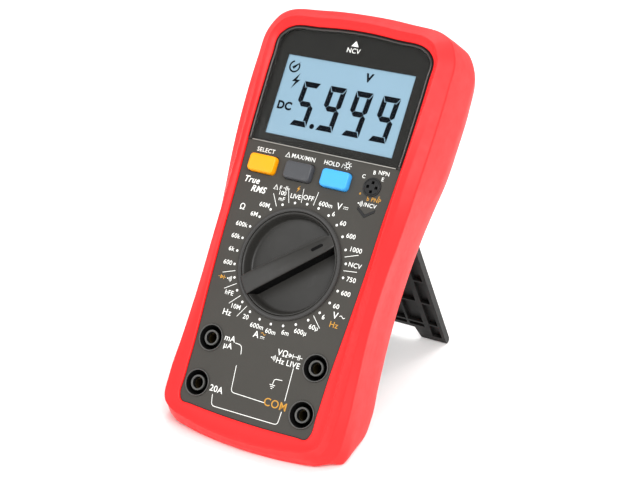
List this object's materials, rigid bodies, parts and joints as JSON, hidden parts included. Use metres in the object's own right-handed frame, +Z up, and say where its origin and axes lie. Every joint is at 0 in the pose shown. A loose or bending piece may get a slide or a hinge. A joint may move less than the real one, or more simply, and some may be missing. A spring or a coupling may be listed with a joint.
{
  "type": "digital multimeter",
  "caption": "Handheld digital multimeter in a rubber holster, leaning back on its open tilt stand, with an LCD, a rotary selector, push buttons and safety jacks.",
  "frame": {"origin": "middle of the holster's flat heel, on the bench", "axes": "+Z up, +X to the meter's right as its face is seen, -Y towards the user; the face leans back 56.2 degrees from the bench"},
  "size_m": [0.0902, 0.1335, 0.1543],
  "materials": {
    "red_rubber": "soft satin moulded rubber",
    "case_grey": "fine matte texture",
    "panel_grey": "fine matte printed film",
    "dark_plastic": "satin moulded",
    "knob_black": "satin moulded",
    "clear_window": "clear polished acrylic",
    "display_glass": "reflective blue-grey display",
    "white_plastic": "white moulded",
    "rotor_nylon": "natural nylon",
    "pink_elastomer": "soft layered elastomer",
    "board_green": "solder-masked glass fibre board",
    "chip_black": "moulded epoxy",
    "sleeve_blue": "shrink sleeve",
    "disc_orange": "dipped lacquer",
    "trimmer_blue": "moulded",
    "led_red": "diffused epoxy",
    "copper": "bare copper",
    "contact_brass": "plated, turned",
    "spring_steel": "nickel-plated",
    "fuse_ceramic": "ceramic tube with plated caps",
    "fuse_glass": "glass tube with plated caps",
    "shunt_wire": "drawn resistance wire",
    "cell_wrap": "printed wrap",
    "lead_red": "insulated wire",
    "button_yellow": "satin moulded",
    "button_grey": "satin moulded",
    "button_blue": "satin moulded",
    "stand_black": "satin ribbed moulding"
  },
  "bodies": {
    "meter": {"holster": "red_rubber", "front_case": "case_grey", "back_case": "case_grey", "face_label": "panel_grey", "window_lens": "clear_window", "window_mask": "dark_plastic", "lcd_glass": "display_glass", "lcd_frame": "white_plastic", "backlight_guide": "white_plastic", "zebra_strips": "pink_elastomer", "main_pcb": "board_green", "measuring_chip": "chip_black", "small_chips": "chip_black", "crystal": "spring_steel", "electrolytic_caps": "sleeve_blue", "thermistors": "disc_orange", "trimmer": "trimmer_blue", "buzzer": "chip_black", "ncv_antenna": "copper", "indicator_led": "led_red", "ncv_window": "dark_plastic", "hfe_socket": "dark_plastic", "hfe_contacts": "contact_brass", "jack_sleeves": "dark_plastic", "jack_contacts": "contact_brass", "push_switches": "chip_black", "fuse_20a": "fuse_ceramic", "fuse_ma": "fuse_glass", "fuse_clips": "spring_steel", "current_shunt": "shunt_wire", "pcb_screws": "spring_steel", "case_screws": "spring_steel", "batteries": "cell_wrap", "battery_springs": "spring_steel", "battery_contacts": "spring_steel", "battery_leads": "lead_red", "battery_door": "case_grey", "door_screw": "spring_steel"},
    "selector": {"knob": "knob_black", "rotor": "rotor_nylon", "rotor_clip": "spring_steel", "wiper_contacts": "contact_brass", "detent_balls": "spring_steel", "detent_springs": "spring_steel"},
    "select_key": {"select_button": "button_yellow", "select_plunger": "dark_plastic"},
    "max_min_key": {"max_min_button": "button_grey", "max_min_plunger": "dark_plastic"},
    "hold_key": {"hold_button": "button_blue", "hold_plunger": "dark_plastic"},
    "stand": {"tilt_stand": "stand_black"}
  },
  "joints": [
    {"name": "selector_turn", "type": "hinge", "parent": "meter", "child": "selector", "pos_m": [0, 0.01597, 0.0661], "axis": [0, -0.831, 0.5563], "continuous": true},
    {"name": "select_key_press", "type": "slide", "parent": "meter", "child": "select_key", "axis": [0, 0.831, -0.5563], "range_m": [0, 0.0012], "stiffness_N_per_m": 400, "springref_m": -0.0012},
    {"name": "max_min_key_press", "type": "slide", "parent": "meter", "child": "max_min_key", "axis": [0, 0.831, -0.5563], "range_m": [0, 0.0012], "stiffness_N_per_m": 400, "springref_m": -0.0012},
    {"name": "hold_key_press", "type": "slide", "parent": "meter", "child": "hold_key", "axis": [0, 0.831, -0.5563], "range_m": [0, 0.0012], "stiffness_N_per_m": 400, "springref_m": -0.0012},
    {"name": "stand_fold", "type": "hinge", "parent": "meter", "child": "stand", "pos_m": [0, 0.06649, 0.06176], "axis": [1, 0, 0], "range_deg": [-63.3, 0]}
  ]
}
